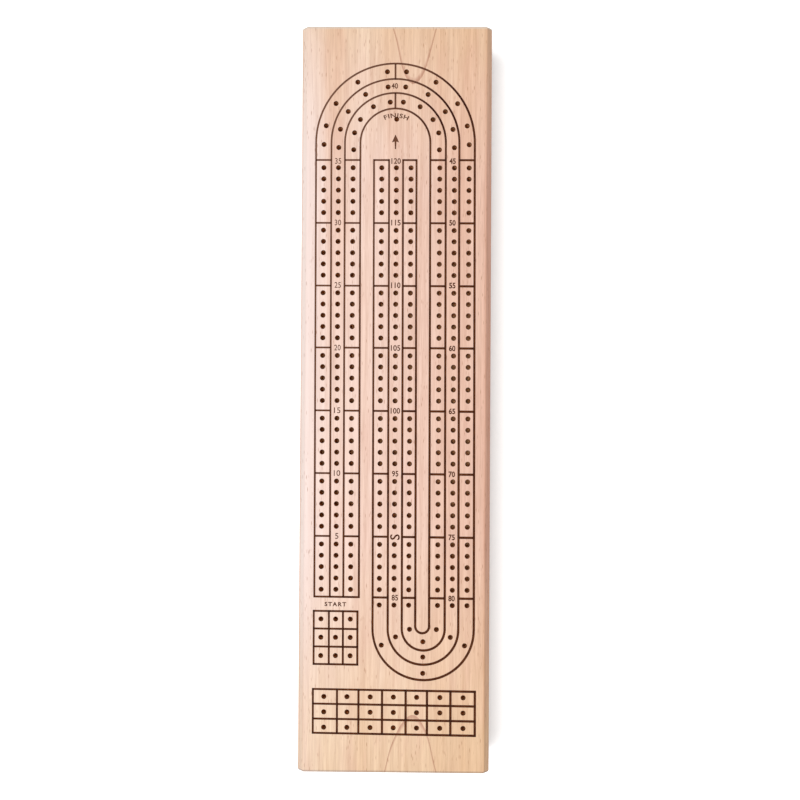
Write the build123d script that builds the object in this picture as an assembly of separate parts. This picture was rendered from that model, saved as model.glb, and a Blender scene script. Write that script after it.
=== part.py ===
from build123d import *

import math
import os

# A cribbage box: a long hardwood playing board with a drilled three-lane track,
# glued on two side rails and an end block, over a thin bottom panel. A full-length
# drawer slides out of the starting end and keeps the pegs and two packs of cards.
#
# Millimetres. +Z is up, +Y points to the finishing end, and the drawer leaves
# along -Y. The origin is the middle of the box on the surface that it stands on.

os.makedirs("parts", exist_ok=True)

# ---- Playing board -------------------------------------------------------------
board_width = 101.6
board_thickness = 12.7
long_edge_chamfer = 2.8           # across the playing face; the bevel is a steep one
long_edge_drop = 3.4              # down the side
end_easing = 0.6
corner_radius = 1.0

# ---- Drilled track -------------------------------------------------------------
lanes = 3
lane_pitch = 30.9                 # between the centre lines of two straights
hole_pitch = 7.8                  # across a lane, from one player's holes to the next
hole_diameter = 2.4
hole_floor = 3.2                  # wood left under each hole
groups_per_straight = 7
holes_per_group = 5
row_pitch = 6.0                   # from hole to hole within a group of five
group_pitch = 33.4                # from one group of five to the next
end_margin = 19.9                 # bare wood between the track and each end
arc_to_first_row = 13.2           # centre of the top arc to the first straight row
last_row_to_bend = 20.2           # last straight row to the centre of the small bend
bend_entry = 12.1                 # row of holes ahead of the small bend
bend_to_games = 5.6               # outside of the small bend to the games block
arc_hole_angles = (32.6, 56.9, 76.2)   # from the centre line, on each side
arc_crown_gap = (5.1, 4.7, 3.5)   # first holes beside the centre line, outer lane first
arc_crown_drop = (0.2, 0.5, 0.9)  # and how far they lie inside their lane's radius
arc_foot_drop = (0.8, 2.4, 3.6)   # last holes below the arc's centre, outer lane first
bend_side_angles = (85.0, 72.0, 67.5)  # from straight down, inner lane first
bend_spread = (-0.5, -0.2, 0.6)   # outside their lane's radius, inner lane first

# ---- Peg parking blocks --------------------------------------------------------
start_rows = 3
start_row_pitch = 9.7
start_first_row = 15.7            # below the last straight row
games_columns = 7
games_rows = 3
games_column_pitch = 12.3
games_row_pitch = 8.1
games_border = 3.8                # from the block's edge to its outer rows of holes
finish_hole_above_arc = 12.8
race_hole_sides = 6               # the many race holes are cut with flat sides

# ---- Box -----------------------------------------------------------------------
rail_thickness = 9.5
end_block_thickness = 12.7
bottom_thickness = 3.2
rebate_in_rail = 4.7
rebate_in_end_block = 6.3
bay_height = 25.1                 # clear height for the drawer
lower_easing = 0.5
foot_height = 2.5
foot_diameter = 11.0
foot_inset = 12.0                 # from the box's edges to a foot's centre

# ---- Drawer --------------------------------------------------------------------
side_gap = 0.5
under_gap = 0.3
over_gap = 0.6
back_gap = 0.6
drawer_front_thickness = 12.7
drawer_side_thickness = 6.35
drawer_back_thickness = 6.35
front_lip = 4.8                   # wood of the front that covers the sides' ends
side_tail = 3.0                   # sides run this far past the back
back_dado = 2.0
panel_thickness = 3.0
panel_groove = 3.0
panel_above_lower_edge = 2.4
divider_thickness = 4.0
divider_height = 15.0
divider_dado = 1.5
peg_well_length = 46.0
card_well_length = 92.0
top_easing = 0.5
notch_radius = 17.0
notch_depth = 8.5

# ---- Drawer stop ---------------------------------------------------------------
stop_setback = 80.0               # from the starting end to the stop screw
stop_shank_diameter = 3.0
stop_head_diameter = 6.0
stop_above_panel = 2.0
stop_hole_clearance = 0.05
stop_gap = 0.3                    # left between the back and the screw, fully open

# ---- Pegs ----------------------------------------------------------------------
peg_colours = ("brass", "nickel", "black")
pegs_per_colour = 3
peg_length = 29.0
peg_shank_diameter = 2.2
peg_grip_diameter = 3.8
peg_tip_room = 0.5                # air under a peg's tip when it stands in a hole
peg_sides = 8                     # the nine turned pegs are cut with flat sides
peg_spacing = 5.4
peg_well_margin = 5.0             # from the drawer's front to the pegs

# ---- Worked out from the sizes above -------------------------------------------
mid_lane = (lanes - 1) / 2
lane_half_width = lanes * hole_pitch / 2
straight_length = (groups_per_straight - 1) * group_pitch + (holes_per_group - 1) * row_pitch
top_arc_radius = lane_pitch + lane_half_width
bend_radius = lane_pitch / 2
games_block_length = (games_rows - 1) * games_row_pitch + 2 * games_border
board_length = (
    2 * end_margin
    + top_arc_radius
    + arc_to_first_row
    + straight_length
    + last_row_to_bend
    + bend_radius + lane_half_width
    + bend_to_games
    + games_block_length
)

finish_end = board_length / 2
start_end = -board_length / 2
arc_centre = finish_end - end_margin - top_arc_radius
first_row = arc_centre - arc_to_first_row
last_row = first_row - straight_length
bend_centre = last_row - last_row_to_bend
hole_depth = board_thickness - hole_floor

underside = foot_height
bay_floor = underside + bottom_thickness
bay_ceiling = bay_floor + bay_height
playing_face = bay_ceiling + board_thickness

bay_half_width = board_width / 2 - rail_thickness
bay_end = finish_end - end_block_thickness

drawer_half_width = bay_half_width - side_gap
drawer_low = bay_floor + under_gap
drawer_high = bay_ceiling - over_gap
drawer_height = drawer_high - drawer_low
drawer_rear = bay_end - back_gap
well_half_width = drawer_half_width - drawer_side_thickness
front_inner_face = start_end + drawer_front_thickness
back_rear_face = drawer_rear - side_tail
back_front_face = back_rear_face - drawer_back_thickness
panel_low = drawer_low + panel_above_lower_edge
well_floor = panel_low + panel_thickness
divider_starts = [
    front_inner_face + peg_well_length + number * (card_well_length + divider_thickness)
    for number in range(3)
]

stop_y = start_end + stop_setback
drawer_travel = back_front_face - stop_gap - (stop_y + stop_shank_diameter / 2)


def prism_along_y(outline, from_y, to_y):
    """A closed outline of (x, z) points, carried from one Y to another."""
    section = Plane((0, from_y, 0), x_dir=(1, 0, 0), z_dir=(0, -1, 0))
    face = make_face(Polyline(*outline, close=True))
    return extrude(section * face, from_y - to_y)


def prism_along_x(outline, from_x, to_x):
    """A closed outline of (y, z) points, carried from one X to another."""
    face = make_face(Polyline(*outline, close=True))
    return extrude(Plane.YZ.offset(from_x) * face, to_x - from_x)


def slab(from_x, to_x, from_y, to_y, from_z, to_z):
    """A plain rectangular solid, used for grooves, dadoes and thin panels."""
    size = (to_x - from_x, to_y - from_y, to_z - from_z)
    middle = ((from_x + to_x) / 2, (from_y + to_y) / 2, (from_z + to_z) / 2)
    return Pos(*middle) * Box(*size)


# ---- Where the peg holes are ---------------------------------------------------
def lane_offsets():
    """The three players' holes across one straight, about its centre line."""
    return [(lane - mid_lane) * hole_pitch for lane in range(lanes)]


def straight_holes():
    """Three straights of seven groups of five holes, for three players."""
    rows = [
        first_row - group * group_pitch - step * row_pitch
        for group in range(groups_per_straight)
        for step in range(holes_per_group)
    ]
    columns = [
        straight * lane_pitch + offset
        for straight in (-1, 0, 1)
        for offset in lane_offsets()
    ]
    return [(x, y) for y in rows for x in columns]


def top_arc_holes():
    """Ten holes for each player over the arc that joins the two outer straights."""
    holes = []
    for lane, offset in enumerate(reversed(lane_offsets())):
        radius = lane_pitch + offset
        gap, crown_radius = arc_crown_gap[lane], radius - arc_crown_drop[lane]
        one_side = [(gap, math.sqrt(crown_radius**2 - gap**2))]
        foot = 90 + math.degrees(math.atan(arc_foot_drop[lane] / radius))
        for angle in (*arc_hole_angles, foot):
            turn = math.radians(angle)
            one_side.append((radius * math.sin(turn), radius * math.cos(turn)))
        holes += [(side * x, arc_centre + y) for x, y in one_side for side in (-1, 1)]
    return holes


def small_bend_holes():
    """Five holes for each player round the bend from the right to the centre straight."""
    holes = []
    for offset, spread, angle in zip(lane_offsets(), bend_spread, bend_side_angles):
        lane_radius = bend_radius + offset
        entry = bend_centre + bend_entry
        holes += [(bend_radius - lane_radius, entry), (bend_radius + lane_radius, entry)]
        radius = lane_radius + spread
        for turn in (-math.radians(angle), 0, math.radians(angle)):
            x = bend_radius + radius * math.sin(turn)
            holes.append((x, bend_centre - radius * math.cos(turn)))
    return holes


def start_holes():
    """The starting block: three waiting pegs for each player."""
    rows = [last_row - start_first_row - row * start_row_pitch for row in range(start_rows)]
    return [(-lane_pitch + offset, y) for y in rows for offset in lane_offsets()]


def games_holes():
    """The block that counts games won: seven holes for each player."""
    top = start_end + end_margin + games_block_length - games_border
    middle = (games_columns - 1) / 2
    return [
        ((column - middle) * games_column_pitch, top - row * games_row_pitch)
        for row in range(games_rows)
        for column in range(games_columns)
    ]


def drilled(points, hole_outline):
    """One cutter for a set of equal blind holes, run up past the playing face."""
    openings = Sketch() + [Pos(x, y) * hole_outline for x, y in points]
    return extrude(Plane.XY.offset(playing_face - hole_depth) * openings, hole_depth + 1)


# ---- Pieces of the box ---------------------------------------------------------
def board_blank():
    """The board before drilling: chamfered long edges, eased ends, rounded corners."""
    half_width = board_width / 2
    half_length = board_length / 2
    across = [
        (-half_width, bay_ceiling),
        (half_width, bay_ceiling),
        (half_width, playing_face - long_edge_drop),
        (half_width - long_edge_chamfer, playing_face),
        (-half_width + long_edge_chamfer, playing_face),
        (-half_width, playing_face - long_edge_drop),
    ]
    along = [
        (-half_length, bay_ceiling),
        (half_length, bay_ceiling),
        (half_length, playing_face - end_easing),
        (half_length - end_easing, playing_face),
        (-half_length + end_easing, playing_face),
        (-half_length, playing_face - end_easing),
    ]
    plan = RectangleRounded(board_width, board_length, corner_radius)
    return (
        prism_along_y(across, -half_length, half_length)
        & prism_along_x(along, -half_width, half_width)
        & extrude(Plane.XY.offset(bay_ceiling) * plan, board_thickness)
    )


def top_board():
    """The playing board, with a blind hole for every place that a peg can stand."""
    finish_hole = [(0, arc_centre + finish_hole_above_arc)]
    race = straight_holes() + top_arc_holes() + small_bend_holes() + games_holes() + finish_hole
    flat_sided = RegularPolygon(hole_diameter / 2, race_hole_sides, major_radius=False)
    round_holes = drilled(start_holes(), Circle(hole_diameter / 2))
    return board_blank() - [drilled(race, flat_sided), round_holes]


def side_rail(side):
    """A side wall with a rebate for the bottom panel; side is -1 for left, 1 for right."""
    outer = board_width / 2
    inner = outer - rail_thickness
    outline = [
        (outer - lower_easing, underside),
        (outer, underside + lower_easing),
        (outer, bay_ceiling),
        (inner, bay_ceiling),
        (inner, bay_floor),
        (inner + rebate_in_rail, bay_floor),
        (inner + rebate_in_rail, underside),
    ]
    rail = prism_along_y([(side * x, z) for x, z in outline], start_end, finish_end)
    plan = RectangleRounded(board_width, board_length, corner_radius)
    return rail & extrude(Plane.XY.offset(underside) * plan, bay_ceiling - underside)


def end_block():
    """The wall that closes the finishing end, rebated for the bottom panel."""
    outline = [
        (finish_end - lower_easing, underside),
        (finish_end, underside + lower_easing),
        (finish_end, bay_ceiling),
        (bay_end, bay_ceiling),
        (bay_end, bay_floor),
        (bay_end + rebate_in_end_block, bay_floor),
        (bay_end + rebate_in_end_block, underside),
    ]
    return prism_along_x(outline, -bay_half_width, bay_half_width)


def bottom_panel():
    """The thin panel in the rebates, countersunk from below for the stop screw."""
    half_width = bay_half_width + rebate_in_rail
    rear = bay_end + rebate_in_end_block
    panel = slab(-half_width, half_width, start_end, rear, underside, bay_floor)
    return panel - stop_screw_form(stop_hole_clearance, bottom_thickness)


def stop_screw_form(growth, shank_top):
    """A countersunk screw about Z, its head in the underside, grown by a clearance."""
    head = stop_head_diameter / 2 + growth
    shank = stop_shank_diameter / 2 + growth
    profile = Polyline(
        (0, 0), (head, 0), (shank, head - shank), (shank, shank_top), (0, shank_top), close=True
    )
    return Pos(0, stop_y, underside) * revolve(Plane.XZ * make_face(profile), Axis.Z)


def stop_screw():
    """The screw that stands in the hollow under the drawer and catches its back."""
    return stop_screw_form(0, bottom_thickness + stop_above_panel)


def foot(x, y):
    """A stick-on rubber foot under a corner of the box."""
    return extrude(Pos(x, y, 0) * Circle(foot_diameter / 2), foot_height)


# ---- Pieces of the drawer ------------------------------------------------------
def drawer_front():
    """A thick front: rabbets take the sides, a groove the panel, a notch the finger."""
    half = drawer_half_width
    cheek = well_half_width
    lip = start_end + front_lip
    plan = [
        (-half, start_end), (half, start_end), (half, lip), (cheek, lip),
        (cheek, front_inner_face), (-cheek, front_inner_face), (-cheek, lip), (-half, lip),
    ]
    outline = make_face(Polyline(*plan, close=True))
    front = extrude(Plane.XY.offset(drawer_low) * outline, drawer_height)
    notch_centre = drawer_high - notch_depth + notch_radius
    bore = Cylinder(notch_radius, 3 * drawer_front_thickness, rotation=(90, 0, 0))
    return front - panel_space() - Pos(0, start_end, notch_centre) * bore


def panel_space():
    """The drawer's bottom panel, which is also the shape of the grooves that hold it."""
    half = well_half_width + panel_groove
    return slab(
        -half, half,
        front_inner_face - panel_groove, back_front_face + panel_groove,
        panel_low, well_floor,
    )


def eased_top(low, high, from_z, to_z):
    """The section of an upright board with both upper edges eased."""
    return [
        (low, from_z), (high, from_z), (high, to_z - top_easing),
        (high - top_easing, to_z), (low + top_easing, to_z), (low, to_z - top_easing),
    ]


def drawer_side(side):
    """A side with a groove for the panel and dadoes for the back and the dividers."""
    low, high = sorted((side * well_half_width, side * drawer_half_width))
    section = eased_top(low, high, drawer_low, drawer_high)
    board = prism_along_y(section, start_end + front_lip, drawer_rear)
    board -= drawer_back_blank()
    for start in divider_starts:
        board -= divider_blank(start, drawer_high + 1)
    return board - panel_space()


def drawer_back_blank():
    """The back before its groove is cut, with its ends in the sides' dadoes."""
    section = eased_top(back_front_face, back_rear_face, drawer_low, drawer_high)
    half = well_half_width + back_dado
    return prism_along_x(section, -half, half)


def drawer_back():
    return drawer_back_blank() - panel_space()


def divider_blank(start, top):
    """A divider, or the upright slot that it is let into, from the panel to a height."""
    half = well_half_width + divider_dado
    return slab(-half, half, start, start + divider_thickness, well_floor, top)


def divider(start):
    """A cross wall between two wells, its upper edges eased."""
    section = eased_top(start, start + divider_thickness, well_floor, well_floor + divider_height)
    half = well_half_width + divider_dado
    return prism_along_x(section, -half, half)


def peg_section(y, diameter):
    """A peg's upright section, flat side down, centred on the Y axis and facing +Y."""
    outline = RegularPolygon(
        diameter / 2, peg_sides, major_radius=False, rotation=180 / peg_sides
    )
    return Plane((0, y, 0), x_dir=(-1, 0, 0), z_dir=(0, 1, 0)) * outline


def peg():
    """A peg lying along Y on Z = 0: a thick grip, then the shank that enters a hole."""
    shank_length = hole_depth - peg_tip_room
    shoulder = peg_length - shank_length
    grip = extrude(peg_section(0, peg_grip_diameter), shoulder)
    shank = extrude(peg_section(shoulder, peg_shank_diameter), shank_length)
    return Pos(0, 0, peg_grip_diameter / 2) * (grip + shank)


def peg_places():
    """Names and places of the pegs, side by side in the well behind the drawer's front."""
    y = front_inner_face + peg_well_margin
    group_spacing = 2 * well_half_width / len(peg_colours)
    for group, colour in enumerate(peg_colours):
        for number in range(pegs_per_colour):
            across = (number - (pegs_per_colour - 1) / 2) * peg_spacing
            x = (group - (len(peg_colours) - 1) / 2) * group_spacing + across
            yield f"peg_{colour}_{number + 1}", Pos(x, y, well_floor)


# ---- The assembly --------------------------------------------------------------
foot_x = board_width / 2 - foot_inset
foot_y = board_length / 2 - foot_inset
pieces = {
    "top_board": top_board(),
    "side_rail_left": side_rail(-1),
    "side_rail_right": side_rail(1),
    "end_block": end_block(),
    "bottom_panel": bottom_panel(),
    "stop_screw": stop_screw(),
    "foot_start_left": foot(-foot_x, -foot_y),
    "foot_start_right": foot(foot_x, -foot_y),
    "foot_finish_left": foot(-foot_x, foot_y),
    "foot_finish_right": foot(foot_x, foot_y),
    "drawer_front": drawer_front(),
    "drawer_side_left": drawer_side(-1),
    "drawer_side_right": drawer_side(1),
    "drawer_back": drawer_back(),
    "drawer_panel": panel_space(),
}
for name, start in zip(("peg_divider", "card_divider", "rear_divider"), divider_starts):
    pieces[name] = divider(start)
one_peg = peg()
for name, place in peg_places():
    pieces[name] = place * one_peg

for name, piece in pieces.items():
    export_step(piece, f"parts/{name}.step")

print(f"box {board_width:.1f} x {board_length:.1f} x {playing_face:.1f} mm")
print(f"drawer travel {drawer_travel:.1f} mm, card wells {card_well_length:.1f} mm long")
print(f"well {2 * well_half_width:.1f} mm wide and {drawer_high - well_floor:.1f} mm deep")
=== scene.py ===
# %% [markdown]
# # A cribbage box with a drawer
# The object is a long box of pale hardwood. Its lid is a playing board with 391 peg holes and a track
# of burnt lines, and a full-length drawer under it keeps the pegs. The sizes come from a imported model,
# which is loaded first and never changed. Every piece made here is worked out in millimetres in the
# same frame: +Z up, +Y towards the finishing end, the origin under the middle of the box.

import math

import bmesh
import bpy
import numpy as np
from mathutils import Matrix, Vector
from mathutils.geometry import delaunay_2d_cdt


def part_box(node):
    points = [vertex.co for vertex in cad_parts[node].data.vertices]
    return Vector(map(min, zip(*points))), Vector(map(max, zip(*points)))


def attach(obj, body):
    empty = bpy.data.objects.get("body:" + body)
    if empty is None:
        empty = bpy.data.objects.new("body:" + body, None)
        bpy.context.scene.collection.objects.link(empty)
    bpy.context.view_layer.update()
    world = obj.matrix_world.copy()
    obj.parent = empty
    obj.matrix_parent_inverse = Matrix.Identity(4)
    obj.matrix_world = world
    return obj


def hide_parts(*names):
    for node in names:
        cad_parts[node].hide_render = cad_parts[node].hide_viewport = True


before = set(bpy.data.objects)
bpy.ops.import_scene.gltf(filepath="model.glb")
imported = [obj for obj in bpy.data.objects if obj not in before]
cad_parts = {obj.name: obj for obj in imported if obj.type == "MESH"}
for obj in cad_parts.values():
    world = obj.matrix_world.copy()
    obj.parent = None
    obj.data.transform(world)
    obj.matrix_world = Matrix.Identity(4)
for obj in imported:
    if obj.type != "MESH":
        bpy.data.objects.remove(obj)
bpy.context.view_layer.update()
MM = 0.001  # metres in a millimetre


def box_mm(node):
    """Lowest and highest corner of a node of the model, in millimetres."""
    return tuple(np.array(corner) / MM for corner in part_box(node))


def merged(node):
    """A node's mesh to work on, with the triangles of each flat face merged into one."""
    form = bmesh.new()
    form.from_mesh(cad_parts[node].data)
    bmesh.ops.remove_doubles(form, verts=form.verts, dist=1e-6)
    bmesh.ops.dissolve_limit(form, angle_limit=math.radians(1), verts=form.verts, edges=form.edges)
    return form


def placed(name, data):
    """A new object in the scene."""
    made = bpy.data.objects.new(name, data)
    bpy.context.scene.collection.objects.link(made)
    return made


board_low, board_high = box_mm("top_board")
playing_face = board_high[2]
print("board", (board_high - board_low).round(2), "mm, its face", round(playing_face, 2), "mm up")

# %% [markdown]
# ## Colours and nodes
# A colour is written as a hex code, as it would look on a screen, but a shader wants linear light, so
# one function turns the one into the other. Materials are built from nodes, and one small function adds
# a node with its settings and its links. A node has live sockets only for what its settings need, so
# its inputs can be a plain list in that order, and each recipe reads as a list of steps.

# %% A colour and a node
MIXED = {"data_type": "RGBA"}  # settings of a node that mixes two colours,
TINTED = {"data_type": "RGBA", "blend_type": "MULTIPLY"}  # and of one that multiplies them
IN_MM = (1 / MM,) * 3


def colour(code):
    """An sRGB hex code as the linear colour that a shader wants: c / 12.92 for a dark part, and
    ((c + 0.055) / 1.055) ^ 2.4 above that."""
    part = np.array([int(code[start:start + 2], 16) for start in (1, 3, 5)]) / 255
    light = np.where(part <= 0.04045, part / 12.92, ((part + 0.055) / 1.055) ** 2.4)
    return (*light, 1.0)


def add(tree, kind, inputs=(), **settings):
    """Adds a node. Its inputs are a list, in the order of its live sockets, or a dictionary by name. Each
    one is a plain value, a hex code, a socket, or a node, which stands for its first live output."""
    made = tree.nodes.new("ShaderNode" + kind)
    for name, value in settings.items():
        setattr(made, name, value)
    sockets = [socket for socket in made.inputs if socket.enabled]
    if isinstance(inputs, dict):
        sockets = [made.inputs[name] for name in inputs]
        inputs = inputs.values()
    for socket, value in zip(sockets, inputs):
        if isinstance(value, bpy.types.Node):
            value = next(output for output in value.outputs if output.enabled)
        if isinstance(value, bpy.types.NodeSocket):
            tree.links.new(value, socket)
        else:
            socket.default_value = colour(value) if isinstance(value, str) else value
    return made


def new_material(name):
    """An empty material with its node tree."""
    made = bpy.data.materials.new(name)
    made.use_nodes = True
    made.node_tree.nodes.clear()
    return made, made.node_tree


print("the middle grey of a screen is", round(colour("#808080")[0], 3), "in linear light")

# %% [markdown]
# ## Solid wood
# The timber is a pale, fine-pored hardwood under a satin lacquer. A picture of veneer would show the
# same figure on a face and on its end, so the wood is a solid pattern instead, and Object coordinates
# hold it still on each piece. Most of it is noise, drawn out along the grain: fibres, soft bands and
# pink blushes differ only in their size. The pores are short dark flecks that turn into dots on end
# grain, each one the middle of a cell that chance has picked. All scales are in millimetres.

# %% Fibres, bands, blushes and pores
FIBRE = (1 / 1.7, 1 / 46, 1 / 1.7)  # streaks of 2 mm and finer, drawn out to 46 mm
BAND = (1 / 11, 1 / 240, 1 / 11)  # soft bands of colour 11 mm wide
BLUSH = (1 / 8, 1 / 36, 1 / 8)  # pink patches
PORE = (1 / 0.7, 1 / 6, 1 / 0.7)  # a pore's cell, of which the fleck fills a fifth


def scaled_noise(tree, place, scale, detail=2.0, roughness=0.5):
    """Noise over a place in millimetres, with its own scale along each axis."""
    stretched = add(tree, "VectorMath", [place, scale], operation="MULTIPLY")
    return add(tree, "TexNoise", {
        "Vector": stretched, "Scale": 1.0, "Detail": detail, "Roughness": roughness,
    })


def pore_flecks(tree, place):
    """Dark where a point is near the middle of its cell, and as dark as the cell's own chance says."""
    cell = add(tree, "VectorMath", [place, PORE], operation="MULTIPLY")
    pores = add(tree, "TexVoronoi", {"Vector": cell, "Scale": 1.0})
    chance = add(tree, "SeparateColor", [pores.outputs["Color"]])
    chosen = add(tree, "MapRange", [chance, 0.35, 0.95, 0.0, 0.85])
    middle = add(tree, "MapRange", [pores.outputs["Distance"], 0.10, 0.26, 1.0, 0.0])
    return add(tree, "Math", [middle, chosen], operation="MULTIPLY")


print("a fibre is", round(FIBRE[0] / FIBRE[1]), "times as long as it is wide")

# %% [markdown]
# ## Growth rings
# The rings lie round the heart of the tree, which runs nearly along the board. Where the heart bows
# towards the face, the rings run out in the pointed arches that a flat-sawn board shows near its ends.
# A ring is found from the distance to the heart, and noise makes it stray. The thin dark line that ends
# a summer is strong in some years and faint in others.

# %% Growth rings
RING_WIDTH = 3.4  # growth of one summer, as this board shows it
RING_LINE = (0.97, 0.99)  # where in a ring, from 0 to 1, its dark line comes up
RING_STEP = 0.22  # one ring's line differs from the next by this share of a turn
FIRST_STEP = 0.35
FAINTEST, STRONGEST = 0.05, 0.7
WANDER = (1 / 25, 1 / 70, 1 / 25)
WANDER_REACH = (1.8, 0.0, 0.7)  # how far the rings stray, across and in depth


def growth(tree, place, heart, bow):
    """The dark line that ends each summer's growth, and the season from spring to autumn, both from 0 to 1.
    A ring ends a whole number of ring widths from the heart, and the heart's depth under the face shrinks
    with the square of the way along the grain."""
    noise = scaled_noise(tree, place, WANDER).outputs["Color"]
    stray = add(tree, "VectorMath", [noise, WANDER_REACH, place], operation="MULTIPLY_ADD")
    x, y, z = add(tree, "SeparateXYZ", [stray]).outputs
    across = add(tree, "Math", [x, heart[0] + WANDER_REACH[0] / 2], operation="SUBTRACT")
    squared = add(tree, "Math", [y, y], operation="MULTIPLY")
    rise = add(tree, "Math", [squared, -bow], operation="MULTIPLY")
    under = add(tree, "Math", [z, heart[1] + WANDER_REACH[2] / 2], operation="SUBTRACT")
    depth = add(tree, "Math", [under, rise], operation="ADD")
    radius = add(tree, "VectorMath", [add(tree, "CombineXYZ", [across, 0.0, depth])], operation="LENGTH")
    rings = add(tree, "Math", [radius, RING_WIDTH], operation="DIVIDE")
    season = add(tree, "Math", [rings], operation="FRACT")
    line = add(tree, "MapRange", [season, *RING_LINE])
    year = add(tree, "Math", [rings], operation="FLOOR")
    turn = add(tree, "Math", [year, RING_STEP, FIRST_STEP], operation="MULTIPLY_ADD")
    vigour = add(tree, "Math", [turn], operation="FRACT")
    strength = add(tree, "MapRange", [vigour, 0.3, 1.0, FAINTEST, STRONGEST])
    return add(tree, "Math", [line, strength], operation="MULTIPLY"), season


print("rings of", RING_WIDTH, "mm")

# %% [markdown]
# ## Colour across the playing board
# The board isn't one colour. It is pinker on the left than on the right, and yellower towards both ends.
# It was cut near the bark, so its left margin is pale sapwood, strongest half-way along, and on the left
# bevel that tone is paler still as a painted highlight. The right bevel is darkened as painted shade. The
# eased edge at the starting end is darkened as painted shade, and the one at the finishing end is painted
# paler and greyer as a painted highlight. Each change is a stretch of millimetres over which one colour
# gives way to the next, across the pattern, along it, or away from half-way along.

# %% Where the board's colour changes
LEFT_HALF = (-20, 35)  # across: the left tone gives way to the board's own
RIGHT_BEVEL_SHADE = (46, 51)  # across: painted shade darkens the right bevel
HALF_WAY = 15  # along: the level between the two ends
TOWARDS_ENDS = (95, 200)  # away from it: the tone of the ends comes up
SAPWOOD_FACE = (-47, -37)  # across: sapwood thins out on the face
SAPWOOD_BEVEL = (-48.6, -47.6)  # across: sapwood changes from the bevel's tone, paler as a painted highlight, to the face's
SAPWOOD_SIDE = (-50.79, -49.7)  # across: it stops at the board's upright side
SAPWOOD_ENDS = (105, 185)  # away from half-way: it grows faint
START_SHADE_SPAN = (-202.5, -202.15)  # along: painted shade darkens the eased edge at the start
FINISH_HIGHLIGHT_SPAN = (191.9, 192.6)  # along: a painted highlight makes the one at the finish paler and greyer


def board_places(tree, place):
    """How far across a point lies, how far along, and how far from half-way along."""
    across, along, _ = add(tree, "SeparateXYZ", [place]).outputs
    offset = add(tree, "Math", [along, HALF_WAY], operation="SUBTRACT")
    return across, along, add(tree, "Math", [offset], operation="ABSOLUTE")


def drifted(tree, wood, places, left, edge, ends):
    """The wood's own colour, pinker on the left and yellower at both ends, with painted shade multiplied
    onto the right bevel.
    """
    across, _, from_middle = places
    rightwards = add(tree, "MapRange", [across, *LEFT_HALF])
    wood = add(tree, "Mix", [rightwards, left, wood], **MIXED)
    # painted shade on the right bevel
    in_right_bevel_shade = add(tree, "MapRange", [across, *RIGHT_BEVEL_SHADE])
    wood = add(tree, "Mix", [in_right_bevel_shade, wood, edge], **TINTED)
    endwards = add(tree, "MapRange", [from_middle, *TOWARDS_ENDS, 0.0, 0.5])
    return add(tree, "Mix", [endwards, wood, ends], **MIXED)


def margined(tree, wood, places, margin, bevel):
    """Sapwood laid over the figure at the left margin and its bevel, the bevel's tone paler as a painted
    highlight, then painted shade on the eased edge at the start and a painted highlight on the one at the
    finish.
    """
    across, along, from_middle = places
    # the bevel's sapwood tone is paler as a painted highlight on the lit left bevel
    on_face = add(tree, "MapRange", [across, *SAPWOOD_BEVEL])
    sapwood = add(tree, "Mix", [on_face, bevel, margin], **MIXED)
    cover = add(tree, "MapRange", [across, *SAPWOOD_FACE, 0.75, 0.0])
    inside = add(tree, "MapRange", [across, *SAPWOOD_SIDE])
    cover = add(tree, "Math", [cover, inside], operation="MULTIPLY")
    middling = add(tree, "MapRange", [from_middle, *SAPWOOD_ENDS, 1.0, 0.35])
    cover = add(tree, "Math", [cover, middling], operation="MULTIPLY")
    wood = add(tree, "Mix", [cover, wood, sapwood], **MIXED)
    # painted shade: the eased edge at the start is multiplied by a cool grey
    start_edge_shade = add(tree, "MapRange", [along, *START_SHADE_SPAN, 1.0, 0.0])
    wood = add(tree, "Mix", [start_edge_shade, wood, "#d4d6de"], **TINTED)
    # painted highlight: the eased edge at the finish turns paler and greyer
    finish_edge_highlight = add(tree, "MapRange", [along, *FINISH_HIGHLIGHT_SPAN, 0.0, 0.9])
    return add(tree, "Mix", [finish_edge_highlight, wood, "#ddccbc"], **MIXED)


print("sapwood on the left", -SAPWOOD_FACE[1], "to", -SAPWOOD_FACE[0], "mm from the middle")

# %% [markdown]
# ## The wood recipe
# Now the parts come together: the wood's colour, its bands and blushes, the ring lines, the fibres, the
# pores, and last the end grain, which drinks more lacquer and is darker, more so in autumn wood. Fibres
# and pores also press a little into the surface, and the lacquer gives it a satin sheen.

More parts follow.
